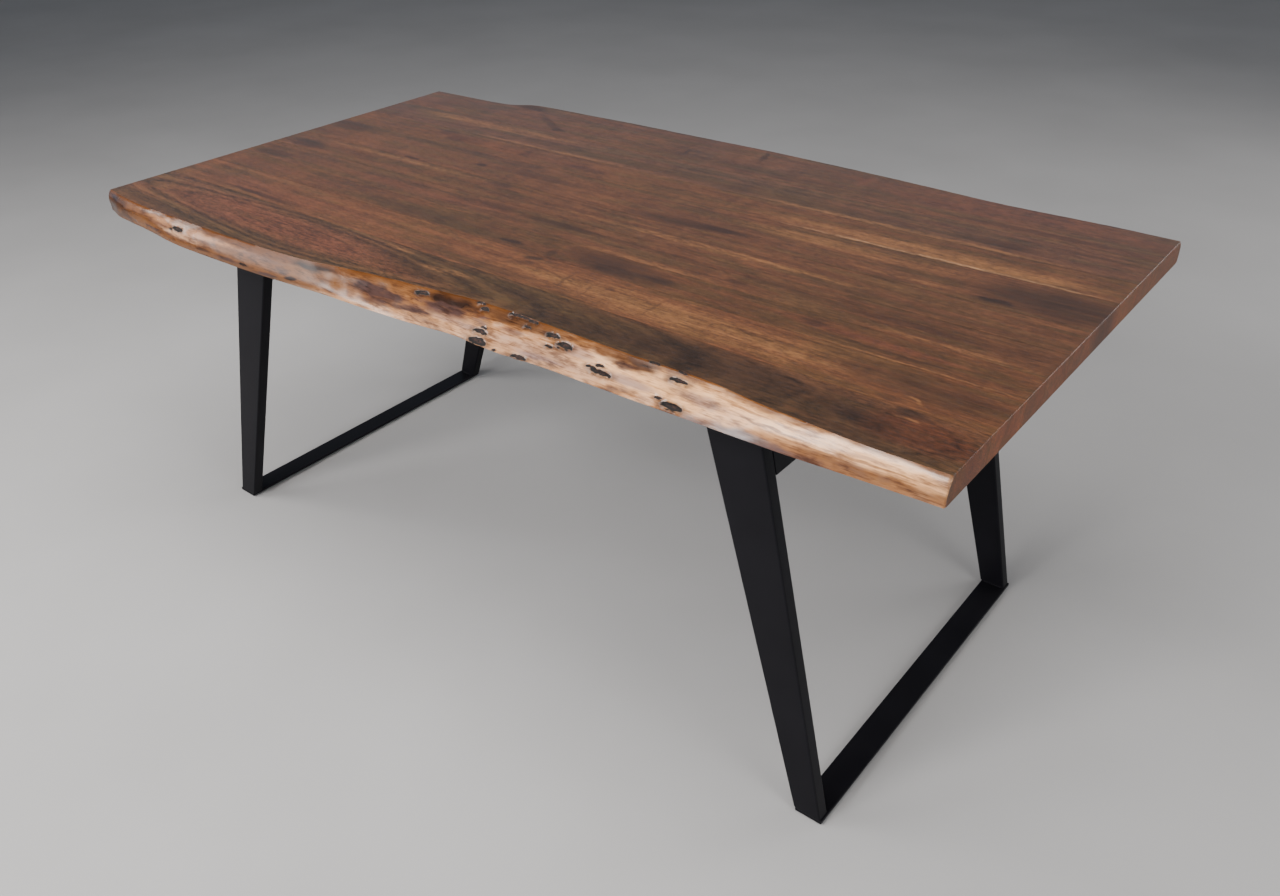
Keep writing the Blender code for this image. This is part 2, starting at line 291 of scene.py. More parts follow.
def stave_colour(shader, place, figure, streaks, flecks):
    """The stave's own colour before its grain: partly greener, with its patches."""
    moss = shader.drawn_out(place, (0.15, 1, 1), 38.0, 3.0, 0.6)
    moss = shader.fade(moss, 0.42, 0.62, 0.0, 0.8)
    lit = tint(*(GRAIN_RANGE * level for level in figure.middle[:3]))
    colour = shader.mix(moss, lit, tint(*(a * b for a, b in zip(lit[:3], MOSS))))
    grain = shader.fade(shader.weighted_sum(streaks, (flecks, 0.9)), 0.28, 0.62, 0.46, 1.04)
    ragged = shader.pushed_about(place, place, 38.0, (0.030, 0.010, 0))
    return patched(shader, colour, ragged, grain, figure.patches, 1, GRAIN_RANGE)


def grain_shade(shader, tone):
    """The grey that the grain multiplies a stave's colour by."""
    middle = 1 / GRAIN_RANGE
    return shader.ramp(
        tone,
        (0.20, tint(0.17, 0.17, 0.17)),
        (0.50, tint(middle, middle, middle)),
        (0.80, tint(1, 1, 1)),
    )


def heartwood(name, figure, seed):
    """Oiled walnut-brown hardwood: growth rings, fibres, mottle, curl and the stave's own marks."""
    shader = Shader(name, (seed * 3.7, seed * 1.3, seed * 2.1))
    place = shader.place()

    # Growth rings, fibres and flecks over the stave's own colour
    rings = ring_distance(shader, place, figure)
    bands = shader.noise_along(shader.math("ADD", rings, seed), 75.0, 6.0, 0.68)
    fibres = shader.drawn_out(place, (0.040, 1, 1), 420.0, 3.0, 0.68)
    streaks = shader.drawn_out(place, (0.09, 1, 1), 85.0, 4.0, 0.6)
    flecks = shader.drawn_out(place, (0.22, 1, 1), 340.0, 3.0, 0.72)
    mottle = shader.drawn_out(place, (0.35, 1, 1), 13.0, 3.0)
    curl = shader.drawn_out(place, (1, 0.16, 0.3), 24.0, 2.0)
    tone = shader.weighted_sum(
        0.5,
        (bands, figure.rings),
        (fibres, 0.75),
        (streaks, 0.22),
        (flecks, figure.flecks),
        (mottle, 0.25),
        (curl, 0.20),
    )
    colour = stave_colour(shader, place, figure, streaks, flecks)
    colour = shader.mix(1.0, colour, grain_shade(shader, tone), "MULTIPLY")

    # Short dark pores, drawn out along the grain
    pores = shader.drawn_out(place, (0.07, 1, 1), 950.0, 1.0)
    depth = shader.fade(pores, 0.58, 0.70)
    colour = shader.mix(shader.math("MULTIPLY", depth, 0.50), colour, BLACK)

    # End grain is warmer, lighter and duller
    along = shader.add("ShaderNodeSeparateXYZ", {0: place}, output="X")
    end = shader.fade(shader.math("ABSOLUTE", along), HALF_LENGTH - 0.0012, HALF_LENGTH - 0.0002)
    colour = shader.mix(end, colour, shader.mix(1.0, colour, END_GRAIN, "MULTIPLY"))

    height = shader.weighted_sum(0.5, (fibres, 0.5), (bands, 0.3))
    height = shader.math("SUBTRACT", height, depth)
    shader.bump(height, 0.00012, 0.6)
    roughness = shader.weighted_sum(0.40, (fibres, 0.10), (mottle, 0.10))
    roughness = shader.math("MULTIPLY_ADD", end, 0.15, roughness)
    return shader.finish(Base_Color=colour, Roughness=roughness, IOR=1.42)


FIGURES = {
    FRONT_STAVE: Figure(
        pith=(-0.40, -0.405, 0.752),
        taper=0.13,
        middle=tint(0.078, 0.031, 0.012),
        rings=0.85,
        flecks=1.20,
        patches=(
            Patch(-0.40, -0.405, 0.50, 0.060, 0.60, RED),
            Patch(-0.45, -0.480, 0.60, 0.028, 0.60, OLIVE),
            Patch(-0.50, -0.345, 0.22, 0.012, 0.50, DARK, -3),
            Patch(0.02, -0.370, 0.26, 0.060, 0.75, OLIVE),
            Patch(0.35, -0.395, 0.42, 0.062, 0.90, OLIVE),
            Patch(0.14, -0.372, 0.06, 0.018, 0.60, DARK),
            Patch(0.32, -0.405, 0.16, 0.022, 0.65, DARK),
            Patch(0.50, -0.380, 0.20, 0.040, 0.65, DARK),
            Patch(-0.02, -0.375, 0.07, 0.010, 0.25, GOLD, 6),
            Patch(-0.16, -0.350, 0.04, 0.006, 0.25, GOLD, -5),
            Patch(0.83, -0.390, 0.10, 0.045, 0.90, MAHOGANY),
            Patch(0.73, -0.395, 0.030, 0.020, 0.75, DARK),
            Patch(0.80, -0.345, 0.026, 0.012, 0.75, DARK),
            Patch(0.80, -0.362, 0.016, 0.004, 0.40, GOLD),
            Patch(0.76, -0.450, 0.16, 0.026, 0.70, OLIVE),
            Patch(0.66, -0.410, 0.26, 0.080, 0.55, DARK),
        ),
        knots=(Knot(0.74, -0.400, 0.070, 0.030, 0.020),),
    ),
    "inner_stave_1": Figure(
        pith=(0.30, -0.100, 0.60),
        taper=0.05,
        middle=tint(0.105, 0.038, 0.014),
        patches=(
            Patch(-0.60, -0.318, 0.15, 0.008, 0.80, DARK),
            Patch(-0.55, -0.290, 0.35, 0.030, 0.35, RED),
            Patch(0.38, -0.290, 0.36, 0.045, 0.50, GOLD),
            Patch(0.00, -0.318, 0.16, 0.014, 0.50, OLIVE),
            Patch(0.062, -0.243, 0.022, 0.010, 0.75, DARK, 25),
            Patch(0.095, -0.222, 0.020, 0.010, 0.65, DARK, 25),
            Patch(0.060, -0.268, 0.040, 0.010, 0.45, DARK, 30),
            Patch(0.165, -0.285, 0.003, 0.045, 0.45, DARK),
            Patch(0.220, -0.290, 0.003, 0.045, 0.35, DARK),
            Patch(0.345, -0.285, 0.003, 0.045, 0.40, DARK),
            Patch(0.78, -0.275, 0.16, 0.040, 0.55, DARK),
            Patch(0.79, -0.312, 0.018, 0.004, 0.55, GOLD, -30),
            Patch(0.76, -0.325, 0.022, 0.008, 0.65, DARK),
        ),
        knots=(Knot(0.79, -0.320, 0.040, 0.018, 0.012),),
    ),
    "inner_stave_2": Figure(
        pith=(-0.50, -0.120, 0.55),
        taper=0.04,
        middle=tint(0.086, 0.032, 0.012),
        patches=(
            Patch(-0.22, -0.200, 0.24, 0.028, 0.75, OLIVE),
            Patch(-0.65, -0.190, 0.22, 0.028, 0.35, RED),
            Patch(0.21, -0.188, 0.120, 0.044, 0.80, DARK, -4),
            Patch(0.205, -0.204, 0.050, 0.020, 0.85, DARK),
            Patch(0.290, -0.192, 0.050, 0.014, 0.75, DARK, -4),
            Patch(-0.02, -0.207, 0.030, 0.010, 0.90, DARK),
            Patch(0.072, -0.205, 0.012, 0.018, 0.70, DARK),
            Patch(0.76, -0.223, 0.20, 0.003, 0.40, GOLD),
            Patch(0.68, -0.185, 0.16, 0.009, 0.45, RED),
            Patch(0.70, -0.205, 0.14, 0.005, 0.60, DARK),
            Patch(0.57, -0.180, 0.024, 0.012, 0.60, DARK),
        ),
        knots=(Knot(0.21, -0.195, 0.060, 0.026, 0.016), Knot(0.58, -0.180, 0.040, 0.014, 0.008)),
    ),
    "inner_stave_3": Figure(
        pith=(0.10, -0.260, 0.58),
        taper=0.04,
        middle=tint(0.087, 0.033, 0.013),
        patches=(
            Patch(-0.17, -0.085, 0.06, 0.018, 0.60, DARK),
            Patch(-0.01, -0.092, 0.10, 0.014, 0.65, DARK),
            Patch(-0.16, -0.120, 0.10, 0.012, 0.50, OLIVE),
            Patch(-0.82, -0.120, 0.07, 0.022, 0.60, DARK),
            Patch(0.39, -0.122, 0.024, 0.007, 0.80, DARK),
            Patch(0.46, -0.096, 0.10, 0.008, 0.45, DARK, -2),
            Patch(0.70, -0.105, 0.20, 0.010, 0.45, DARK),
            Patch(-0.35, -0.110, 0.25, 0.030, 0.35, RED),
            Patch(0.76, -0.140, 0.16, 0.008, 0.34, GOLD),
            Patch(0.24, -0.142, 0.16, 0.008, 0.32, GOLD),
        ),
    ),
    "inner_stave_4": Figure(
        pith=(-0.30, 0.190, 0.60),
        taper=0.05,
        middle=tint(0.087, 0.033, 0.013),
        patches=(
            Patch(-0.82, -0.030, 0.08, 0.026, 0.60, DARK),
            Patch(-0.55, 0.015, 0.30, 0.010, 0.35, GOLD),
            Patch(-0.25, 0.012, 0.035, 0.012, 0.60, DARK),
            Patch(0.28, -0.024, 0.34, 0.010, 0.55, GOLD),
            Patch(0.65, -0.040, 0.24, 0.012, 0.35, DARK),
        ),
    ),
    "inner_stave_5": Figure(
        pith=(0.35, -0.080, 0.62),
        taper=0.07,
        middle=tint(0.092, 0.035, 0.014),
        patches=(
            Patch(-0.84, 0.125, 0.10, 0.032, 0.60, DARK),
            Patch(-0.45, 0.135, 0.25, 0.016, 0.35, DARK),
            Patch(-0.37, 0.085, 0.018, 0.010, 0.85, DARK),
            Patch(-0.53, 0.032, 0.022, 0.008, 0.80, DARK),
            Patch(-0.492, 0.028, 0.010, 0.007, 0.90, BLACK),
            Patch(-0.20, 0.095, 0.10, 0.020, 0.45, DARK),
            Patch(0.18, 0.054, 0.14, 0.022, 0.65, DARK, 4),
            Patch(0.25, 0.060, 0.060, 0.012, 0.70, DARK, 4),
            Patch(0.45, 0.115, 0.26, 0.022, 0.35, GOLD),
            Patch(0.84, 0.090, 0.15, 0.062, 0.85, DARK),
            Patch(0.75, 0.052, 0.035, 0.010, 0.80, BLACK),
            Patch(0.60, 0.055, 0.10, 0.006, 0.40, GOLD),
        ),
        knots=(Knot(0.76, 0.056, 0.060, 0.020, 0.012), Knot(-0.51, 0.030, 0.040, 0.014, 0.008)),
    ),
    "inner_stave_6": Figure(
        pith=(-0.20, 0.420, 0.58),
        taper=0.05,
        middle=tint(0.094, 0.036, 0.014),
        patches=(
            Patch(-0.555, 0.196, 0.035, 0.020, 0.85, DARK),
            Patch(-0.60, 0.218, 0.030, 0.020, 0.50, DARK),
            Patch(-0.35, 0.205, 0.012, 0.030, 0.50, DARK),
            Patch(-0.17, 0.190, 0.050, 0.014, 0.50, DARK),
            Patch(-0.40, 0.200, 0.30, 0.030, 0.30, RED),
            Patch(0.58, 0.180, 0.32, 0.030, 0.60, GOLD),
            Patch(0.60, 0.158, 0.30, 0.004, 0.70, PALE),
            Patch(0.18, 0.210, 0.008, 0.034, 0.35, DARK),
        ),
        knots=(Knot(-0.56, 0.200, 0.060, 0.030, 0.020),),
    ),
    "inner_stave_7": Figure(
        pith=(0.45, 0.110, 0.70),
        taper=0.12,
        middle=tint(0.090, 0.037, 0.018),
        patches=(
            Patch(0.05, 0.280, 0.55, 0.024, 0.60, OLIVE),
            Patch(0.66, 0.284, 0.09, 0.018, 0.65, DARK),
            Patch(0.50, 0.252, 0.34, 0.008, 0.50, GOLD),
            Patch(-0.30, 0.250, 0.24, 0.007, 0.35, GOLD),
            Patch(-0.55, 0.320, 0.30, 0.020, 0.35, GOLD),
        ),
    ),
    BACK_STAVE: Figure(
        pith=(-0.30, 0.900, 0.60),
        taper=0.06,
        middle=tint(0.090, 0.036, 0.017),
        patches=(
            Patch(-0.46, 0.415, 0.085, 0.012, 0.58, DARK, -34),
            Patch(-0.41, 0.378, 0.022, 0.010, 0.80, DARK),
            Patch(-0.58, 0.490, 0.050, 0.024, 0.70, DARK),
            Patch(-0.065, 0.410, 0.008, 0.024, 0.75, DARK, 10),
            Patch(0.085, 0.475, 0.008, 0.040, 0.75, DARK, 15),
            Patch(0.33, 0.450, 0.012, 0.040, 0.40, RED),
            Patch(0.10, 0.385, 0.40, 0.018, 0.50, OLIVE),
            Patch(0.62, 0.440, 0.28, 0.050, 0.45, RED),
            Patch(0.70, 0.372, 0.18, 0.010, 0.50, DARK),
        ),
        knots=(Knot(-0.41, 0.380, 0.060, 0.030, 0.014), Knot(-0.60, 0.500, 0.080, 0.040, 0.020)),
    ),
}


# ---------------------------------------------------------------- live edges


class Pit(NamedTuple):
    """A bark inclusion on a live edge. down runs from 0 at the top of the edge to 1 at its foot."""

    x: float
    down: float
    half_length: float
    half_height: float
    depth: float


class DullSpot(NamedTuple):
    """An area of a live edge where the lacquer is rougher."""

    x: float
    down: float
    half_length: float
    half_height: float
    roughness: float


class LiveEdge(NamedTuple):
    """A stave's live edge: which way it faces along Y, its shape, and what shows on it."""

    stave: str
    outwards: int
    bows: tuple
    bellies: tuple
    patches: tuple
    pits: tuple
    dull_spots: tuple
    seed: float


FRONT_BOW = (  # how far the front live edge swells outwards, at places along it
    (-0.90, 0.0042),
    (-0.66, 0.0050),
    (-0.50, 0.0078),
    (-0.36, 0.0080),
    (-0.22, 0.0070),
    (-0.12, 0.0045),
    (0.00, 0.0016),
    (0.35, 0.0004),
    (0.52, 0.0014),
    (0.68, 0.0034),
    (0.90, 0.0046),
)
BACK_BOW = ((-0.90, 0.0040), (0.90, 0.0040))
FRONT_BELLY = (  # how low the swell's fullest part lies: 1 is half-way down, more is lower
    (-0.90, 0.70),
    (-0.74, 0.80),
    (-0.66, 1.05),
    (-0.60, 1.25),
    (-0.50, 1.15),
    (-0.38, 1.20),
    (-0.24, 1.90),
    (-0.12, 2.50),
    (-0.02, 1.20),
    (0.05, 0.70),
    (0.62, 0.70),
    (0.80, 1.20),
    (0.90, 1.00),
)
BACK_BELLY = ((-0.90, 0.70), (0.90, 0.70))

FRONT_DULL_SPOTS = (DullSpot(-0.36, 0.30, 0.166, 1.10, 0.26),)
FRONT_PITS = (
    Pit(-0.612, 0.33, 0.017, 0.075, 0.0012),
    Pit(-0.633, 0.42, 0.006, 0.045, 0.0010),
    Pit(-0.399, 0.74, 0.011, 0.045, 0.0006),
    Pit(0.003, 0.15, 0.014, 0.060, 0.0014),
    Pit(0.117, 0.03, 0.008, 0.030, 0.0012),
    Pit(0.130, 0.14, 0.009, 0.050, 0.0012),
    Pit(0.190, 0.06, 0.013, 0.045, 0.0018),
    Pit(0.208, 0.05, 0.010, 0.035, 0.0018),
    Pit(0.226, 0.07, 0.012, 0.045, 0.0018),
    Pit(0.222, 0.20, 0.008, 0.040, 0.0014),
    Pit(0.148, 0.54, 0.006, 0.035, 0.0010),
    Pit(0.145, 0.67, 0.015, 0.070, 0.0016),
    Pit(0.150, 0.89, 0.019, 0.095, 0.0012),
    Pit(0.188, 0.93, 0.004, 0.025, 0.0008),
    Pit(0.236, 0.93, 0.015, 0.065, 0.0014),
    Pit(0.274, 0.20, 0.014, 0.065, 0.0018),
    Pit(0.276, 0.46, 0.008, 0.045, 0.0014),
    Pit(0.302, 0.33, 0.016, 0.085, 0.0020),
    Pit(0.376, 0.47, 0.008, 0.040, 0.0012),
    Pit(0.381, 0.64, 0.020, 0.080, 0.0020),
    Pit(0.362, 0.58, 0.011, 0.045, 0.0014),
    Pit(0.456, 0.01, 0.009, 0.025, 0.0012),
    Pit(0.504, 0.02, 0.008, 0.025, 0.0012),
    Pit(0.504, 0.22, 0.015, 0.065, 0.0014),
    Pit(0.486, 0.72, 0.007, 0.035, 0.0010),
    Pit(0.511, 0.82, 0.018, 0.095, 0.0018),
)
BACK_PITS = (
    Pit(-0.540, 0.45, 0.016, 0.080, 0.0015),
    Pit(-0.500, 0.70, 0.008, 0.050, 0.0012),
    Pit(-0.120, 0.60, 0.012, 0.060, 0.0014),
    Pit(0.240, 0.35, 0.014, 0.070, 0.0016),
    Pit(0.275, 0.62, 0.008, 0.045, 0.0012),
    Pit(0.620, 0.50, 0.012, 0.060, 0.0014),
)

AMBER = tint(0.150, 0.059, 0.018)
HONEY = tint(0.105, 0.033, 0.006)
BROWN = tint(0.125, 0.047, 0.016)
TAN = tint(0.240, 0.097, 0.031)
PEACH = tint(0.420, 0.190, 0.078)
CREAM = tint(0.550, 0.315, 0.180)
# pale sapwood made lighter still, as a painted highlight on the right of the front edge
PALE_WOOD_AND_PAINTED_HIGHLIGHT = tint(0.920, 0.500, 0.235)
GOLDEN = tint(0.310, 0.130, 0.045)
PLUM = tint(0.056, 0.026, 0.021)
NUT = tint(0.078, 0.029, 0.009)
MAUVE = tint(0.105, 0.058, 0.050)
LILAC = tint(0.240, 0.155, 0.140)
UMBER = tint(0.048, 0.019, 0.009)
RUST = tint(0.022, 0.008, 0.004)
BARK = tint(0.003, 0.0018, 0.0014)
SCAB = tint(0.046, 0.018, 0.011)


def down_the_edge(down):
    """The height above the floor at a share of the way down a live edge."""
    return TABLE_TOP - down * THICKNESS


def edge_patch(x, down, half_length, half_height, strength, colour):
    return Patch(x, down_the_edge(down), half_length, half_height * THICKNESS, strength, colour)


FRONT_EDGE_PATCHES = (
    # The sapwood's broad zones; some pale ones are partly painted highlights
    edge_patch(-0.58, 0.50, 0.50, 1.50, 1.10, BROWN),
    edge_patch(-0.58, 0.80, 0.34, 0.42, 0.85, AMBER),
    # peach wood, partly a painted highlight in the band lit by the left window
    edge_patch(-0.60, 0.25, 0.24, 0.14, 0.70, PEACH),
    edge_patch(-0.34, 0.76, 0.18, 0.34, 0.80, AMBER),
    # pale wood, partly a painted highlight half-way down the left of the edge
    edge_patch(-0.60, 0.50, 0.08, 0.16, 0.75, CREAM),
    edge_patch(-0.34, 0.30, 0.10, 0.14, 0.60, MAUVE),
    edge_patch(-0.10, 0.16, 0.34, 0.20, 0.90, AMBER),
    edge_patch(-0.06, 0.50, 0.22, 0.24, 0.60, TAN),
    # pale lower rim, partly a painted highlight along the foot
    edge_patch(-0.06, 0.98, 0.22, 0.20, 0.75, CREAM),
    edge_patch(-0.22, 0.46, 0.10, 0.34, 1.25, AMBER),
    edge_patch(0.24, 0.72, 0.26, 0.34, 0.75, CREAM),
    edge_patch(0.20, 0.13, 0.16, 0.20, 0.80, AMBER),
    edge_patch(0.30, 0.64, 0.15, 0.22, 0.35, LILAC),
    # pale wood on the right, partly a painted highlight where the front window's highlight falls
    edge_patch(0.52, 0.45, 0.24, 0.42, 0.70, PALE_WOOD_AND_PAINTED_HIGHLIGHT),
    edge_patch(0.77, 0.28, 0.22, 0.32, 1.00, PALE_WOOD_AND_PAINTED_HIGHLIGHT),
    edge_patch(0.78, 0.78, 0.22, 0.26, 0.80, GOLDEN),
    # Blotches and stains on them
    edge_patch(-0.89, 0.45, 0.055, 0.90, 1.10, UMBER),
    edge_patch(-0.77, 0.52, 0.09, 0.55, 1.05, AMBER),
    edge_patch(-0.84, 0.20, 0.045, 0.22, 0.70, RUST),
    edge_patch(-0.84, 0.64, 0.070, 0.36, 0.75, UMBER),
    edge_patch(-0.80, 0.72, 0.030, 0.12, 0.80, PLUM),
    edge_patch(-0.70, 0.70, 0.035, 0.10, 0.90, PLUM),
    edge_patch(-0.645, 0.60, 0.020, 0.08, 0.70, PLUM),
    edge_patch(-0.52, 0.72, 0.030, 0.10, 0.90, UMBER),
    edge_patch(-0.445, 0.76, 0.035, 0.12, 1.00, PLUM),
    edge_patch(-0.335, 0.86, 0.030, 0.10, 1.00, PLUM),
    edge_patch(-0.30, 0.52, 0.020, 0.10, 0.80, PLUM),
    edge_patch(-0.275, 0.68, 0.016, 0.09, 1.50, RUST),
    edge_patch(-0.34, 0.08, 0.22, 0.18, 1.40, HONEY),
    edge_patch(-0.235, 0.10, 0.045, 0.22, 1.40, RUST),
    edge_patch(-0.105, 0.36, 0.048, 0.18, 1.40, PLUM),
    edge_patch(-0.080, 0.54, 0.052, 0.13, 1.20, PLUM),
    edge_patch(-0.050, 0.42, 0.036, 0.12, 1.20, PLUM),
    edge_patch(-0.080, 0.70, 0.040, 0.10, 0.80, PLUM),
    edge_patch(0.000, 0.62, 0.052, 0.10, 1.10, PLUM),
    edge_patch(0.065, 0.13, 0.052, 0.20, 1.50, RUST),
    edge_patch(0.060, 0.38, 0.052, 0.15, 1.20, PLUM),
    edge_patch(0.06, 0.50, 0.05, 0.08, 0.60, MAUVE),
    edge_patch(0.125, 0.26, 0.010, 0.14, 0.85, HONEY),
    edge_patch(0.20, 0.14, 0.07, 0.15, 0.80, UMBER),
    edge_patch(0.20, 0.40, 0.030, 0.10, 0.75, MAUVE),
    edge_patch(0.27, 0.76, 0.050, 0.10, 0.80, LILAC),
    edge_patch(0.10, 0.62, 0.060, 0.08, 0.60, LILAC),
    edge_patch(0.33, 0.34, 0.040, 0.14, 0.65, LILAC),
    edge_patch(0.378, 0.10, 0.034, 0.13, 0.95, HONEY),
    edge_patch(0.425, 0.16, 0.044, 0.17, 1.10, NUT),
    edge_patch(0.440, 0.08, 0.030, 0.10, 0.90, RUST),
    edge_patch(0.405, 0.26, 0.020, 0.12, 0.90, PLUM),
    edge_patch(0.43, 0.60, 0.060, 0.12, 0.75, LILAC),
    edge_patch(0.55, 0.44, 0.045, 0.14, 0.80, LILAC),
    edge_patch(0.57, 0.86, 0.050, 0.12, 0.50, LILAC),
    edge_patch(0.65, 0.90, 0.095, 0.17, 1.00, MAUVE),
    edge_patch(0.75, 0.68, 0.080, 0.10, 0.28, UMBER),
    edge_patch(0.86, 0.68, 0.040, 0.10, 0.35, UMBER),
    edge_patch(0.66, 0.42, 0.070, 0.05, 1.00, TAN),
    edge_patch(0.80, 0.42, 0.060, 0.045, 0.80, TAN),
    edge_patch(0.72, 0.54, 0.080, 0.045, 0.75, GOLDEN),
    edge_patch(0.62, 0.22, 0.060, 0.05, 0.80, GOLDEN),
    edge_patch(0.78, 0.30, 0.060, 0.06, 0.45, LILAC),
)
BACK_EDGE_PATCHES = (
    edge_patch(-0.70, 0.60, 0.18, 0.40, 0.55, AMBER),
    edge_patch(-0.56, 0.35, 0.06, 0.30, 0.70, RUST),
    edge_patch(-0.20, 0.45, 0.15, 0.25, 0.50, CREAM),
    edge_patch(0.10, 0.70, 0.12, 0.20, 0.55, MAUVE),
    edge_patch(0.34, 0.40, 0.08, 0.30, 0.55, RUST),
    edge_patch(0.66, 0.60, 0.16, 0.28, 0.50, AMBER),
)

FRONT_EDGE = LiveEdge(
    stave=FRONT_STAVE,
    outwards=-1,
    bows=FRONT_BOW,
    bellies=FRONT_BELLY,
    patches=FRONT_EDGE_PATCHES,
    pits=FRONT_PITS,
    dull_spots=FRONT_DULL_SPOTS,
    seed=1.0,
)
BACK_EDGE = LiveEdge(
    stave=BACK_STAVE,
    outwards=1,
    bows=BACK_BOW,
    bellies=BACK_BELLY,
    patches=BACK_EDGE_PATCHES,
    pits=BACK_PITS,
    dull_spots=(),
    seed=9.0,
)


def spot_distance(shader, where, spot):
    """How far a point is from the middle of a pit or dull spot, in the spot's own radii."""
    radii = (spot.half_length, 0, spot.half_height * THICKNESS)
    return shader.distance(where, (spot.x, 0, down_the_edge(spot.down)), radii)


def worn_grain(shader, place, streaks, fibres):
    """Fine darker wisps and blotches, as a tint to multiply the sapwood by."""
    blotches = shader.drawn_out(place, (0.45, 1, 1), 75.0, 2.0, 0.6)
    wisps = shader.drawn_out(place, (0.20, 1, 1), 210.0, 3.0, 0.65)
    wear = shader.weighted_sum(0.5, (wisps, 1.1), (fibres, 0.8), (streaks, 0.6), (blotches, 1.1))
    return shader.ramp(
        wear,
        (0.15, tint(0.40, 0.34, 0.32)),
        (0.55, tint(0.96, 0.91, 0.86)),
        (0.80, tint(1, 1, 1)),
    )


def stained_top_darkened_foot(shader, colour, place):
    """Stains the top of the edge, where the bark came away last, and darkens its foot."""
    height = shader.add("ShaderNodeSeparateXYZ", {0: place}, output="Z")
    top_stain = shader.fade(height, down_the_edge(0.16), down_the_edge(0.00), 0.0, 0.80)
    colour = shader.mix(top_stain, colour, HONEY)
    # darker towards the foot of the edge
    foot_darkening = shader.fade(height, down_the_edge(0.94), down_the_edge(1.03), 0.0, 0.6)
    return shader.mix(foot_darkening, colour, RUST)


def nearest_pit(shader, place, pits):
    """The distance from the nearest pit, in that pit's own radii."""
    wobble = shader.pushed_about(place, place, 140.0, (0.007, 0, 0.003))
    nearest = spot_distance(shader, wobble, pits[0])
    for pit in pits[1:]:
        nearest = shader.math("MINIMUM", nearest, spot_distance(shader, wobble, pit))
    return nearest


def live_edge_wood(edge):
    """Debarked wood under lacquer: pale sapwood with some painted highlights, amber along the top,
    mauve stains, dark pits.
    """
    seed = edge.seed
    shader = Shader(f"{edge.stave}_live_edge", (seed * 2.9, seed * 1.7, seed * 0.9))
    place = shader.place()
    streaks = shader.drawn_out(place, (0.22, 1, 1), 90.0, 4.0, 0.6)
    fibres = shader.drawn_out(place, (0.06, 1, 1), 520.0, 2.0, 0.6)
    clouds = shader.drawn_out(place, (0.55, 1, 1), 24.0, 3.0, 0.55)
    tone = shader.weighted_sum(0.5, (streaks, 0.9), (fibres, 0.35), (clouds, 1.6))
    colour = shader.ramp(tone, (0.24, MAUVE), (0.40, TAN), (0.56, PEACH), (0.76, CREAM))

    # Its zones, blotches and stains, some zones partly painted highlights
    stretched = shader.scaled(place, (0.35, 1, 1), shader.shift)
    ragged = shader.pushed_about(place, stretched, 70.0, (0.040, 0, 0.010))
    grain = shader.fade(streaks, 0.28, 0.60, 0.55, 1.0)
    colour = patched(shader, colour, ragged, grain, edge.patches, 2)
    colour = shader.mix(1.0, colour, worn_grain(shader, place, streaks, fibres), "MULTIPLY")
    colour = stained_top_darkened_foot(shader, colour, ragged)

    # Bark in the pits, scabby in the middle, with a stain round it
    nearest = nearest_pit(shader, place, edge.pits)
    stain = shader.fade(nearest, 1.05, 2.0, 0.60, 0.0)
    colour = shader.mix(stain, colour, UMBER)
    bark = shader.fade(nearest, 0.90, 1.15, 1.0, 0.0)
    core = shader.fade(nearest, 0.25, 0.85, 0.9, 0.0)
    speckle = shader.noise(place, 420.0, 3.0, 0.7)
    core = shader.math("MULTIPLY", core, shader.fade(speckle, 0.38, 0.62))
    colour = shader.mix(bark, colour, shader.mix(core, BARK, SCAB))

    # Satin lacquer, rough on the bark and in the dull spots
    height = shader.weighted_sum(0.5, (streaks, 0.5), (fibres, 0.3), (clouds, 0.8))
    shader.bump(height, 0.0006, 0.5)
    lacquer = shader.weighted_sum(0.245, (streaks, 0.14))
    roughness = shader.math("MULTIPLY_ADD", bark, 0.62, lacquer)
    for spot in edge.dull_spots:
        away = spot_distance(shader, ragged, spot)
        dull = shader.fade(away, 0.4, 1.3, spot.roughness, 0.0)
        roughness = shader.math("ADD", roughness, dull)
    return shader.finish(Base_Color=colour, Roughness=roughness, IOR=1.45)


# ---------------------------------------------------------------- the staves


def edge_line(node, height, outwards):
    """A smooth function y(x) through the outermost points of a CAD node at a height."""
    furthest = {}
    for vertex in NODES[node].data.vertices:
        if abs(vertex.co.z - height) < 1e-4:
            x = round(vertex.co.x, 4)
            furthest[x] = max(furthest.get(x, -1.0), vertex.co.y * outwards)
    xs = sorted(furthest)
    ys = [furthest[x] * outwards for x in xs]

    def line(x):
        i = min(max(bisect.bisect_right(xs, x) - 1, 0), len(xs) - 2)
        before, here, there, after = ys[max(i - 1, 0)], ys[i], ys[i + 1], ys[min(i + 2, len(ys) - 1)]
        slope_here = (there - before) / 2
        slope_there = (after - here) / 2
        cubic = slope_here + slope_there - 2 * (there - here)
        square = 3 * (there - here) - 2 * slope_here - slope_there
        t = (x - xs[i]) / (xs[i + 1] - xs[i])
        return ((cubic * t + square) * t + slope_here) * t + here

    return line


def smooth_steps(points, x):
    """A value that eases from each of the points to the next."""
    for (left, low), (right, high) in zip(points, points[1:]):
        if x <= right:
            break
    share = min(max((x - left) / (right - left), 0.0), 1.0)
    return low + (high - low) * share * share * (3 - 2 * share)


def stations(step):
    """Places along X as (x, inset): the section shrinks by inset towards each rounded end."""
    quarter = [math.radians(angle) for angle in (90, 60, 30)]
    rounding = [
        (HALF_LENGTH - END_ROUNDING * (1 - math.sin(a)), END_ROUNDING * (1 - math.cos(a)))
        for a in quarter
    ]
    straight = HALF_LENGTH - END_ROUNDING
    count = round(2 * straight / step)
    middle = [(straight * (2 * i / count - 1), 0.0) for i in range(count + 1)]
    left = [(-x, inset) for x, inset in rounding]
    return left + middle + rounding[::-1]


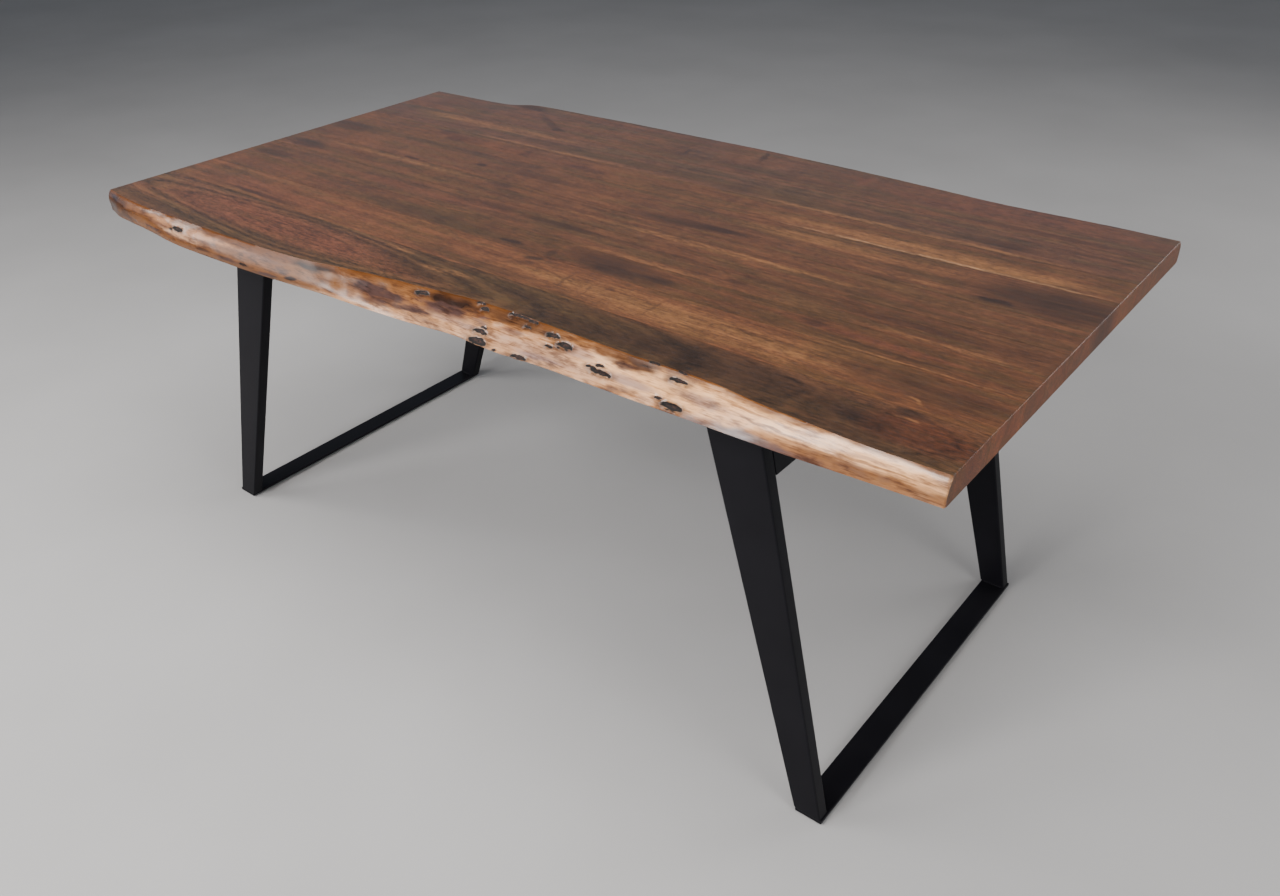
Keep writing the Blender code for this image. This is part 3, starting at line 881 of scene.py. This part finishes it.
def lofted(sections, outer_points=()):
    """A closed body through sections of equal length; faces between outer_points get material 1."""
    shape = bmesh.new()
    rings = [[shape.verts.new(point) for point in section] for section in sections]
    for ring, following in zip(rings, rings[1:]):
        for i in range(len(ring)):
            face = shape.faces.new((ring[i - 1], ring[i], following[i], following[i - 1]))
            face.material_index = int(i in outer_points)
    shape.faces.new(rings[0])
    shape.faces.new(rings[-1])
    bmesh.ops.recalc_face_normals(shape, faces=shape.faces)
    return shape


def to_mesh(name, shape):
    mesh = bpy.data.meshes.new(name)
    shape.to_mesh(mesh)
    shape.free()
    return mesh


def pit_depth(pits, x, down):
    """How far the surface sinks at a point of a live edge: flat-floored pits with steep rims."""
    depth = 0.0
    for pit in pits:
        away = ((x - pit.x) / pit.half_length) ** 2 + ((down - pit.down) / pit.half_height) ** 2
        depth = max(depth, PIT_SCALE * pit.depth * min(max(1.6 * (1.1 - away), 0.0), 1.0))
    return depth


def surface_waves(x, down, seed):
    """How far a live edge's waves lift its surface. They die out at its top and foot."""
    window = min(1.0, 5 * down, 5 * (1 - down))
    waves = 0.0016 * noise.noise((x * 13, down * 1.3, seed))
    waves += 0.0007 * noise.noise((x * 42, down * 3.5, seed + 7))
    return waves * window


def live_edge_section(edge, inner_y, top_y, foot_y, x, inset):
    """A cross-section of a stave, from its glued side at the top round the live edge and back."""
    outwards = edge.outwards
    lean = math.hypot(THICKNESS, foot_y - top_y)
    normal = Vector((0, outwards * THICKNESS / lean, outwards * (foot_y - top_y) / lean))
    bow = smooth_steps(edge.bows, x)
    belly = smooth_steps(edge.bellies, x)
    section = [(x, inner_y, TABLE_TOP - inset)]
    for i in range(FACE_STEPS):
        down = i / (FACE_STEPS - 1) * (1 - FOOT_BEVEL / THICKNESS)
        swell = bow * math.sin(math.pi * down**belly)
        swell += EDGE_ROUNDING * (1 - (1 - min(1.0, 3 * down)) ** 3)
        y = top_y + (foot_y - top_y) * down + outwards * swell
        z = TABLE_TOP - inset - (THICKNESS - 2 * inset) * down
        away = surface_waves(x, down, edge.seed) - pit_depth(edge.pits, x, down)
        rise = normal.z * away if i else 0.0  # the top corner stays level with the table top
        section.append((x, y + normal.y * away, z + rise))
    section.append((x, foot_y - outwards * FOOT_BEVEL, UNDERSIDE + inset))
    section.append((x, inner_y, UNDERSIDE + inset))
    return section


def live_edge_stave(edge):
    """A stave whose outer side is the wavy, pitted live edge."""
    node, outwards = edge.stave, edge.outwards
    low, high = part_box(node)
    inner_y = high.y if outwards < 0 else low.y
    top_line = edge_line(node, TABLE_TOP, outwards)
    foot_line = edge_line(node, UNDERSIDE, outwards)
    sections = []
    for x, inset in stations(STATION_STEP):
        ripple = 0.0007 * noise.noise((x * 38, edge.seed, 0.5))
        top_y = top_line(x) + outwards * (ripple - inset)
        foot_y = foot_line(x) - outwards * inset
        sections.append(live_edge_section(edge, inner_y, top_y, foot_y, x, inset))
    mesh = to_mesh(node, lofted(sections, outer_points=range(2, FACE_STEPS + 2)))
    wood = heartwood(f"{node}_heartwood", FIGURES[node], edge.seed)
    piece = add_piece(f"{node}_finished", mesh, [wood, live_edge_wood(edge)], "hardwood", node)
    smooth_but_crisp(piece)


def inner_stave(node, seed):
    """A sawn stave with rounded ends, and with the CAD's blind holes for its inserts."""
    low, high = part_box(node)
    sections = []
    for x, inset in stations(2 * HALF_LENGTH):
        top, bottom = high.z - inset, low.z + inset
        sections.append([(x, low.y, top), (x, high.y, top), (x, high.y, bottom), (x, low.y, bottom)])
    mesh = to_mesh(node, lofted(sections))
    material = heartwood(f"{node}_heartwood", FIGURES[node], seed)
    piece = add_piece(f"{node}_finished", mesh, [material], "hardwood", node)
    for side in SIDES:
        for number in range(1, 5):
            cut_insert_hole(piece, f"{side}_insert_{number}", low.y, high.y)
    smooth_but_crisp(piece)


def cut_insert_hole(piece, insert, front_y, back_y):
    low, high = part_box(insert)
    centre = (low + high) / 2
    if not front_y < centre.y < back_y:
        return
    radius = (high.x - low.x) / 2 + INSERT_CLEARANCE
    shape = bmesh.new()
    bmesh.ops.create_cone(
        shape,
        cap_ends=True,
        segments=32,
        radius1=radius,
        radius2=radius,
        depth=2 * INSERT_HOLE_DEPTH,
    )
    bmesh.ops.translate(shape, verts=shape.verts, vec=(centre.x, centre.y, UNDERSIDE))
    cutter = bpy.data.objects.new(f"cut_{insert}", to_mesh(f"cut_{insert}", shape))
    bpy.context.scene.collection.objects.link(cutter)
    boolean = piece.modifiers.new(cutter.name, "BOOLEAN")
    boolean.operation = "DIFFERENCE"
    boolean.solver = "EXACT"
    boolean.object = cutter
    bake_modifiers(piece)
    bpy.data.objects.remove(cutter)


def bake_modifiers(piece):
    """Puts a piece's modifiers into its own mesh."""
    graph = bpy.context.evaluated_depsgraph_get()
    mesh = bpy.data.meshes.new_from_object(piece.evaluated_get(graph))
    piece.modifiers.clear()
    piece.data = mesh


def build_top():
    live_edge_stave(FRONT_EDGE)
    for i, node in enumerate(INNER_STAVES):
        inner_stave(node, seed=2.0 + i)
    live_edge_stave(BACK_EDGE)


# ---------------------------------------------------------------- the steel frames


def powder_coat():
    """Satin black powder coat, with its fine orange-peel surface."""
    shader = Shader("powder_coat")
    place = shader.place()
    peel = shader.noise(place, 700.0, 2.0, 0.6)
    clouds = shader.noise(place, 9.0, 3.0)
    colour = shader.ramp(
        clouds, (0.3, tint(0.0056, 0.0051, 0.0066)), (0.7, tint(0.0078, 0.0072, 0.0092))
    )
    shader.bump(peel, 0.00010, 0.5)
    roughness = shader.weighted_sum(0.46, (clouds, 0.12), (peel, 0.06))
    return shader.finish(Base_Color=colour, Roughness=roughness, IOR=1.20)


def softened_steel(node, material, rounding):
    """A CAD steel piece with the small rounding that cut and coated edges have."""
    shape = bmesh.new()
    shape.from_mesh(NODES[node].data)
    bmesh.ops.remove_doubles(shape, verts=shape.verts, dist=1e-6)
    bmesh.ops.dissolve_limit(
        shape, angle_limit=math.radians(1), verts=shape.verts, edges=shape.edges
    )
    sharp = [
        edge
        for edge in shape.edges
        if len(edge.link_faces) == 2 and edge.calc_face_angle() > math.radians(60)
    ]
    bmesh.ops.bevel(shape, geom=sharp, offset=rounding, segments=2, profile=0.5, affect="EDGES")
    mesh = to_mesh(node, shape)
    mesh.materials.clear()
    piece = add_piece(f"{node}_coated", mesh, [material], "black_steel", node)
    smooth_but_crisp(piece, 50)


def weld_bead(name, start, end, material, radius=0.0022, pitch=0.0024):
    """A rippled fillet weld from start to end, half sunk in the corner that it fills."""
    start, end = Vector(start), Vector(end)
    along = (end - start).normalized()
    side = along.orthogonal().normalized()
    up = along.cross(side)
    steps = max(4, round((end - start).length / pitch) * 4)
    sections = []
    for i in range(steps + 1):
        share = i / steps
        ripple = 1 + 0.10 * math.sin(i * math.pi / 2)
        taper = min(1.0, 6 * share + 0.35, 6 * (1 - share) + 0.35)
        centre = start.lerp(end, share)
        ring = []
        for k in range(8):
            angle = math.tau * k / 8
            spoke = side * math.cos(angle) + up * math.sin(angle)
            ring.append(centre + spoke * radius * ripple * taper)
        sections.append(ring)
    mesh = to_mesh(name, lofted(sections))
    piece = add_piece(name, mesh, [material], "black_steel")
    smooth_but_crisp(piece, 60)


def weld_feet(side, material):
    """A weld at the inner side of each leg's foot, where it stands on the foot bar."""
    bar_low, bar_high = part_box(f"{side}_foot_bar")
    z = bar_high.z + FOOT_WELD_HEIGHT
    for word in ("front", "rear"):
        leg_low, leg_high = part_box(f"{side}_{word}_leg")
        inner_y = leg_high.y if word == "front" else leg_low.y
        weld_bead(
            f"{side}_{word}_foot_weld",
            (bar_low.x + FOOT_WELD_INSET, inner_y, z),
            (bar_high.x - FOOT_WELD_INSET, inner_y, z),
            material,
        )


def weld_crossbeam(side, material):
    """Upright welds in the corners between the crossbeam's plates and the legs."""
    for face in ("inner", "outer"):
        low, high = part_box(f"{side}_crossbeam_{face}_plate")
        low_x = behind_plate_x(side, face, low.z)
        high_x = behind_plate_x(side, face, high.z)
        for word, y in (("front", low.y), ("rear", high.y)):
            weld_bead(
                f"{side}_{face}_{word}_beam_weld",
                (low_x, y, low.z + BEAM_WELD_INSET),
                (high_x, y, high.z - BEAM_WELD_INSET),
                material,
            )


def behind_plate_x(side, face, z):
    """Where the welds behind a crossbeam plate lie, at the height of its lower or upper edge."""
    plate = NODES[f"{side}_crossbeam_{face}_plate"].data
    level = [vertex.co.x for vertex in plate.vertices if abs(vertex.co.z - z) < 1e-4]
    shows_its_high_side = (face == "outer") == (side == "right")
    if shows_its_high_side:
        return max(level) - BEAM_WELD_SETBACK
    return min(level) + BEAM_WELD_SETBACK


def build_frames():
    coat = powder_coat()
    for side in SIDES:
        for word in ("front_leg", "rear_leg"):
            softened_steel(f"{side}_{word}", coat, LEG_ROUNDING)
        for word in ("crossbeam_outer_plate", "crossbeam_inner_plate", "foot_bar", "top_plate"):
            softened_steel(f"{side}_{word}", coat, PLATE_ROUNDING)
        weld_feet(side, coat)
        weld_crossbeam(side, coat)


# ---------------------------------------------------------------- CAD pieces that keep their shape


def glide_rubber():
    shader = Shader("glide_rubber_finish")
    grain = shader.noise(shader.place(), 900.0, 3.0, 0.7)
    colour = shader.ramp(grain, (0.3, tint(0.012, 0.012, 0.012)), (0.7, tint(0.030, 0.030, 0.029)))
    shader.bump(grain, 0.0002, 0.6)
    return shader.finish(Base_Color=colour, Roughness=0.8)


def turned_metal(name, dark, light, roughness):
    """Plated metal with faint turning marks and smudges."""
    shader = Shader(name)
    place = shader.place()
    marks = shader.noise(shader.scaled(place, (1, 1, 12)), 500.0, 2.0)
    smudges = shader.noise(place, 160.0, 3.0)
    colour = shader.ramp(smudges, (0.3, dark), (0.7, light))
    shader.bump(marks, 0.00005, 0.4)
    rough = shader.weighted_sum(roughness, (smudges, 0.2))
    return shader.finish(Base_Color=colour, Roughness=rough, Metallic=1.0)


def dress(node, material):
    """Gives a CAD node a finish through its object's own material slots."""
    for slot in NODES[node].material_slots:
        slot.link = "OBJECT"
        slot.material = material


def dress_hardware():
    rubber = glide_rubber()
    oxide = turned_metal("black_oxide", tint(0.030, 0.030, 0.032), tint(0.070, 0.070, 0.075), 0.38)
    brass = turned_metal("insert_brass_finish", tint(0.42, 0.29, 0.11), tint(0.62, 0.46, 0.20), 0.34)
    for side in SIDES:
        for word in ("front", "rear"):
            dress(f"{side}_{word}_glide", rubber)
        for number in range(1, 5):
            dress(f"{side}_bolt_{number}", oxide)
            dress(f"{side}_washer_{number}", oxide)
            dress(f"{side}_insert_{number}", brass)


# ---------------------------------------------------------------- floor, light and camera


class Softbox(NamedTuple):
    """A soft rectangular lamp that faces a target."""

    name: str
    place: tuple
    target: tuple
    width: float
    height: float
    watts: float


SOFTBOXES = (
    Softbox("left window", (-2.7, -2.5, 2.45), (-0.1, -0.45, 0.74), 2.1, 1.0, 92),
    Softbox("front window", (-0.4, -3.4, 2.5), (0.75, -0.45, 0.74), 1.6, 1.35, 148),
    Softbox("overhead", (0.3, -0.6, 3.8), (0.1, -0.2, 0.7), 3.2, 2.6, 125),
    Softbox("right fill", (4.0, -1.2, 1.6), (0.5, 0, 0.6), 1.6, 1.6, 46),
    Softbox("rim", (2.6, 3.7, 1.6), (0.6, 0.2, 0.7), 1.8, 1.0, 44),
)
LOW_SKY = tint(0.56, 0.70, 0.92)
HIGH_SKY = tint(0.095, 0.092, 0.088)

CAMERA_PLACE = (1.257, -1.575, 1.4865)
CAMERA_TURNS = ((42.43, "Z"), (58.14, "X"), (-2.23, "Z"))  # degrees: heading, tilt and roll
CAMERA_LENS = 30.97  # mm, on a sensor 36 mm wide
CAMERA_SHIFT = 0.085


def add_floor():
    shape = bmesh.new()
    bmesh.ops.create_grid(shape, x_segments=1, y_segments=1, size=30)
    floor = bpy.data.objects.new("floor", to_mesh("floor", shape))
    bpy.context.scene.collection.objects.link(floor)
    shader = Shader("floor_paint")
    clouds = shader.noise(shader.place(), 1.5, 4.0)
    colour = shader.ramp(clouds, (0.3, tint(0.40, 0.385, 0.375)), (0.7, tint(0.44, 0.425, 0.415)))
    floor.data.materials.append(shader.finish(Base_Color=colour, Roughness=0.7))


def add_softbox(box):
    light = bpy.data.lights.new(box.name, "AREA")
    light.shape = "RECTANGLE"
    light.size = box.width
    light.size_y = box.height
    light.energy = box.watts
    lamp = bpy.data.objects.new(box.name, light)
    lamp.location = box.place
    view = Vector(box.target) - Vector(box.place)
    lamp.rotation_euler = view.to_track_quat("-Z", "Y").to_euler()
    bpy.context.scene.collection.objects.link(lamp)


def add_sky():
    """Soft light from all round, brightest low down."""
    world = bpy.data.worlds.new("studio")
    world.use_nodes = True
    nodes = world.node_tree.nodes
    links = world.node_tree.links
    place = nodes.new("ShaderNodeTexCoord")
    split = nodes.new("ShaderNodeSeparateXYZ")
    sky = nodes.new("ShaderNodeValToRGB")
    low, high = sky.color_ramp.elements
    low.color = LOW_SKY
    high.position = 0.50
    high.color = HIGH_SKY
    links.new(place.outputs["Generated"], split.inputs[0])
    links.new(split.outputs["Z"], sky.inputs["Fac"])
    links.new(sky.outputs["Color"], nodes["Background"].inputs["Color"])
    bpy.context.scene.world = world


def add_camera():
    data = bpy.data.cameras.new("camera")
    data.sensor_width = 36.0
    data.lens = CAMERA_LENS
    data.shift_x = CAMERA_SHIFT
    camera = bpy.data.objects.new("camera", data)
    bpy.context.scene.collection.objects.link(camera)
    pose = Matrix.Translation(CAMERA_PLACE)
    for degrees, axis in CAMERA_TURNS:
        pose @= Matrix.Rotation(math.radians(degrees), 4, axis)
    camera.matrix_world = pose
    bpy.context.scene.camera = camera


build_top()
build_frames()
dress_hardware()
add_floor()
add_sky()
for softbox in SOFTBOXES:
    add_softbox(softbox)
add_camera()
